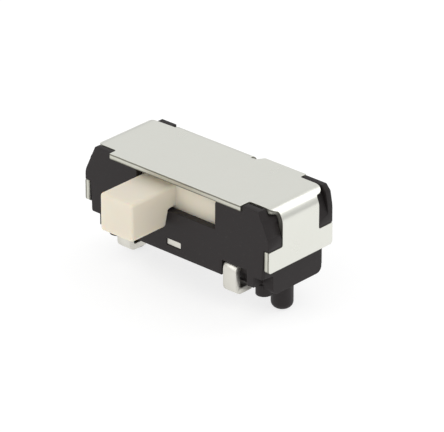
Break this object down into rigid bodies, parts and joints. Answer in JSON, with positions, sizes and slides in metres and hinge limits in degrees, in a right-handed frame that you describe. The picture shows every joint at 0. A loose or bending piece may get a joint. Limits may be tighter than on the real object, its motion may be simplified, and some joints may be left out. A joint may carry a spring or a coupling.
{
  "type": "slide switch",
  "caption": "Right-angle slide switch for a circuit board: black housing with pegs, bright sheet cover and an ivory knob that slides between two positions.",
  "frame": {"origin": "on the circuit board's face, midway between the axes of the two locating pegs", "axes": "+X along the knob's travel, away from its rest position; +Y from the knob side to the back; +Z away from the board"},
  "size_m": [0.0088, 0.0052, 0.0044],
  "materials": {
    "black_plastic": "moulded, fine matt texture",
    "plated_sheet": "bright tin-plated rolled sheet with sheared edges",
    "ivory_plastic": "moulded, satin, slightly translucent",
    "contact_alloy": "rolled spring strip",
    "spring_steel": "rolled spring strip",
    "tinned_strip": "satin tin plate"
  },
  "bodies": {
    "base": {"housing": "black_plastic", "cover": "plated_sheet", "terminal_left": "tinned_strip", "terminal_right": "tinned_strip", "terminal_common": "tinned_strip"},
    "slider": {"slider": "ivory_plastic", "moving_contact": "contact_alloy", "detent_spring": "spring_steel"}
  },
  "joints": [
    {"name": "slider_travel", "type": "slide", "parent": "base", "child": "slider", "axis": [1, 0, 0], "range_m": [0, 0.0021], "deforming": ["detent_spring"]}
  ]
}
